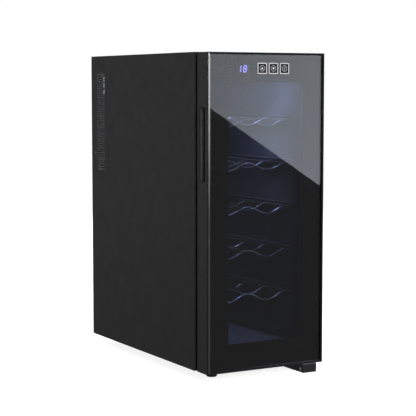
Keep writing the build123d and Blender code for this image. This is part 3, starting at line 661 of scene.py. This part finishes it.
def make_shelf(number):
    """A welded chrome shelf: wave wires laid across two side rods with round ends."""
    node = f"shelf_{number}"
    low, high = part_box(node)
    rod_x, top = high.x - ROD_R, high.z - ROD_R
    front, back = low.y + ROD_R, high.y - ROD_R
    meshes = []
    for x in (-rod_x, rod_x):
        meshes.append(tube([(x, y, top) for y in (front, 0, back)], ROD_R, 4))
        code = bmesh.new()
        for end in (front, back):
            bmesh.ops.create_uvsphere(code, u_segments=16, v_segments=10, radius=ROD_R,
                                      matrix=Matrix.Translation((x, end, top)))
        dome = bpy.data.meshes.new("dome")
        code.to_mesh(dome)
        code.free()
        meshes.append(dome)
    for wire in range(WIRE_COUNT):
        y = front + (back - front) * wire / (WIRE_COUNT - 1)
        points = []
        for k in range(WIRE_STEPS + 1):
            x = (2 * k / WIRE_STEPS - 1) * (rod_x - WELD_DEPTH)
            points.append((x, y, top - WAVE_HEIGHT * (1 - math.cos(math.tau * x / WAVE_LENGTH)) / 2))
        meshes.append(tube(points, WIRE_R, 3))
    add_piece(f"wire_{node}", join_meshes(f"wire_{node}", meshes), node, "chrome_wire", replaces=(node,))


def make_lamp():
    """The blue lamp under the cavity's roof: a wide wash, a glow on the right wall behind it, and a
    beam down across the shelves."""
    low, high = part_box("led_lens")
    under = Vector(((low.x + high.x) / 2, (low.y + high.y) / 2, low.z - 1 * MM))
    area_light("lamp", under, under + Vector((-0.1, 0.4, -1.0)), LAMP_SIZE, LAMP_POWER, LAMP_COLOR)
    behind = under + Vector(GLOW_OFFSET)
    area_light("roof_glow", behind, behind + Vector((1.0, 0.0, -0.7)), GLOW_SIZE, GLOW_POWER, GLOW_COLOR)
    beam = area_light("lamp_beam", under, BEAM_TARGET, LAMP_SIZE, BEAM_POWER, BEAM_COLOR)
    beam.data.spread = math.radians(BEAM_SPREAD)


for number in range(1, SHELF_COUNT + 1):
    make_shelf(number)
make_lamp()


# ---- seal, fans, feet and screws ----------------------------------------------------
SEAL_DEPTH = 10.7 * MM
# inset and height above the door liner, in mm: the dart, one side's pleats, the magnet bead and the
# other side's pleats
SEAL_PROFILE = (
    (0.8, 0), (3.1, 0), (3.1, -2.9), (6.3, -2.9), (6.3, 0), (8.7, 0),
    (9.0, 1.2), (7.7, 2.3), (9.0, 3.4), (7.7, 4.6), (9.1, 5.8),
    (9.5, 7.2), (9.5, 9.0), (8.5, 10.5), (1.0, 10.5), (0, 9.0), (0, 7.2),
    (0.4, 5.8), (1.8, 4.6), (0.5, 3.4), (1.8, 2.3), (0.5, 1.2))
# radius and height, in mm: sole, grip groove, tapered body and the plug that pushes into the base
FOOT_PROFILE = (
    (0, 0), (9.4, 0), (10.5, 0.9), (10.5, 3.4), (9.9, 3.9), (9.9, 4.7), (10.5, 5.2), (10.5, 8.0),
    (9.5, 19.9), (4.0, 19.9), (4.0, 21.2), (0, 21.2))
FOOT_RADIUS = 10.5 * MM
BLADES, HUB_RADIUS, BLADE_HALF_THICK, BLADE_GRID = 7, 18 * MM, 0.8 * MM, 8
BLADE_SWEEP, BLADE_LEAD, BLADE_CAMBER, BLADE_DEPTH = 0.34, 0.22, 0.6 * MM, 0.52
SHANK_RADIUS, SCREW_TURN = 1.6 * MM, 0.7


def make_gasket():
    """The door seal: a pleated bellows with a magnet bead, and a dart that presses into the liner."""
    low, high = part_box("door_gasket")
    base = high.y - SEAL_DEPTH
    profile = [(inset * MM, base + y * MM) for inset, y in SEAL_PROFILE]
    mesh = ring_sweep("seal_bellows", high.x, (low.z, high.z), profile)
    add_piece("seal_bellows", mesh, "door", "gasket_rubber", replaces=("door_gasket",))


def blade_rows(blade, middle, radius, half):
    """The middle surface of one swept, twisted blade: rows of points from the hub outwards."""
    rows = []
    for i in range(BLADE_GRID + 1):
        share = i / BLADE_GRID
        r = HUB_RADIUS - 0.6 * MM + share * (radius - HUB_RADIUS - 0.1 * MM)
        row = []
        for j in range(BLADE_GRID + 1):
            chord = 2 * j / BLADE_GRID - 1
            angle = math.tau * blade / BLADES + BLADE_LEAD * share
            angle += BLADE_SWEEP * chord * (1 - 0.25 * share)
            depth = half * BLADE_DEPTH * chord * (1 - 0.3 * share) + BLADE_CAMBER * (1 - chord * chord)
            row.append(Vector((middle.x + r * math.cos(angle), middle.y + depth,
                               middle.z + r * math.sin(angle))))
        rows.append(row)
    return rows


def make_rotor(name):
    """A fan rotor with a domed hub and thick blades."""
    low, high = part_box(name)
    middle, radius, half = (low + high) / 2, (high.x - low.x) / 2, (high.y - low.y) / 2
    code = bmesh.new()
    deep, hub = 2 * half, HUB_RADIUS
    lathe(code, [(0, 0), (1.5 * MM, 0), (1.5 * MM, 1.6 * MM), (hub - 1.5 * MM, 1.6 * MM), (hub, 3 * MM),
                 (hub, deep - 3.4 * MM), (hub - 2 * MM, deep - 1.6 * MM), (hub * 0.5, deep - 1.2 * MM),
                 (0, deep - 1.1 * MM)],
          Vector((middle.x, high.y, middle.z)), (0, -1, 0), 48)
    end = BLADE_GRID
    edge = [(i, 0) for i in range(end)] + [(end, j) for j in range(end)]
    edge += [(i, end) for i in range(end, 0, -1)] + [(0, j) for j in range(end, 0, -1)]
    for blade in range(BLADES):
        rows = blade_rows(blade, middle, radius, half)
        sides = [[[code.verts.new(point + Vector((0, shift, 0))) for point in row] for row in rows]
                 for shift in (-BLADE_HALF_THICK, BLADE_HALF_THICK)]
        for grid in sides:
            for i in range(end):
                for j in range(end):
                    code.faces.new((grid[i][j], grid[i + 1][j], grid[i + 1][j + 1], grid[i][j + 1]))
        for (i, j), (m, n) in zip(edge, edge[1:] + edge[:1]):
            code.faces.new((sides[0][i][j], sides[0][m][n], sides[1][m][n], sides[1][i][j]))
    mesh = finish_mesh(f"{name}_blades", code)
    add_piece(f"{name}_blades", mesh, name, "fan_plastic", replaces=(name,))


def make_feet(node):
    """Push-in rubber feet with a grip groove: one at each end of the node's box, or one in all."""
    low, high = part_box(node)
    code = bmesh.new()
    for x in sorted({round(low.x + FOOT_RADIUS, 5), round(high.x - FOOT_RADIUS, 5)}):
        lathe(code, [(r * MM, h * MM) for r, h in FOOT_PROFILE],
              Vector((x, (low.y + high.y) / 2, low.z)), (0, 0, 1), 40)
    mesh = finish_mesh(f"{node}_turned", code)
    add_piece(f"{node}_turned", mesh, "cabinet", "foot_rubber", replaces=(node,))


def cross_head(radius, tall, shank):
    """A pan-head screw along +Z with a cross recess; its head sits on z = 0."""
    code = bmesh.new()
    lathe(code, [(0, -shank), (SHANK_RADIUS * 0.6, -shank), (SHANK_RADIUS, -shank + 0.4 * MM),
                 (SHANK_RADIUS, 0), (radius, 0), (radius, tall * 0.35), (radius * 0.86, tall * 0.78),
                 (radius * 0.5, tall), (0, tall)], Vector((0, 0, 0)), (0, 0, 1), 32)
    head = in_scene("head", finish_mesh("head", code))
    code = bmesh.new()
    for wide, deep in ((0.32, 1.3), (1.3, 0.32)):
        low = Vector((-radius * wide / 2, -radius * deep / 2, tall * 0.35))
        high = Vector((radius * wide / 2, radius * deep / 2, tall * 2))
        box = Matrix.Translation((low + high) / 2) @ Matrix.Diagonal((*(high - low), 1))
        bmesh.ops.create_cube(code, size=1, matrix=box)
    cutter = in_scene("cutter", finish_mesh("cutter", code))
    cut = head.modifiers.new("recess", "BOOLEAN")
    cut.object, cut.operation, cut.solver, cut.use_self = cutter, "DIFFERENCE", "EXACT", True
    mesh = evaluated_mesh(head)
    for made in (head, cutter):
        bpy.data.objects.remove(made)
    return mesh


def make_screws(name, seats, mesh, replaces):
    """Copies of one screw, one at each (place, axis) seat, each turned a little differently."""
    code = bmesh.new()
    for k, (place, axis) in enumerate(seats):
        one = mesh.copy()
        one.transform(Matrix.Translation(place) @ aimed(axis) @ Matrix.Rotation(SCREW_TURN * k, 4, "Z"))
        code.from_mesh(one)
        bpy.data.meshes.remove(one)
    add_piece(name, finish_mesh(name, code, 30), "cabinet", "steel", replaces=replaces)


def rear_screws():
    """Six screws round the rear panel."""
    low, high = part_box("rear_panel_screws")
    radius, tall = 3.2 * MM, 1.6 * MM
    x, z = high.x - radius, (low.z + radius, high.z - radius)
    seats = [(Vector((side * x, high.y - tall, height)), (0, 1, 0))
             for side in (-1, 1) for height in (z[0], sum(z) / 2, z[1])]
    mesh = cross_head(radius, tall, high.y - tall - low.y)
    make_screws("rear_cross_screws", seats, mesh, ("rear_panel_screws",))


def side_screws():
    """One screw near the back edge of each side."""
    low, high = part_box("shell_screws")
    radius, tall = (high.z - low.z) / 2, 1.2 * MM
    y, z = (low.y + high.y) / 2, (low.z + high.z) / 2
    seats = [(Vector((side * (high.x - tall), y, z)), (side, 0, 0)) for side in (-1, 1)]
    make_screws("side_cross_screws", seats, cross_head(radius, tall, 6 * MM), ("shell_screws",))


make_gasket()
for node in ("hot_fan_rotor", "cold_fan_rotor"):
    make_rotor(node)
for node in ("front_left_foot", "rear_feet"):
    make_feet(node)
rear_screws()
side_screws()
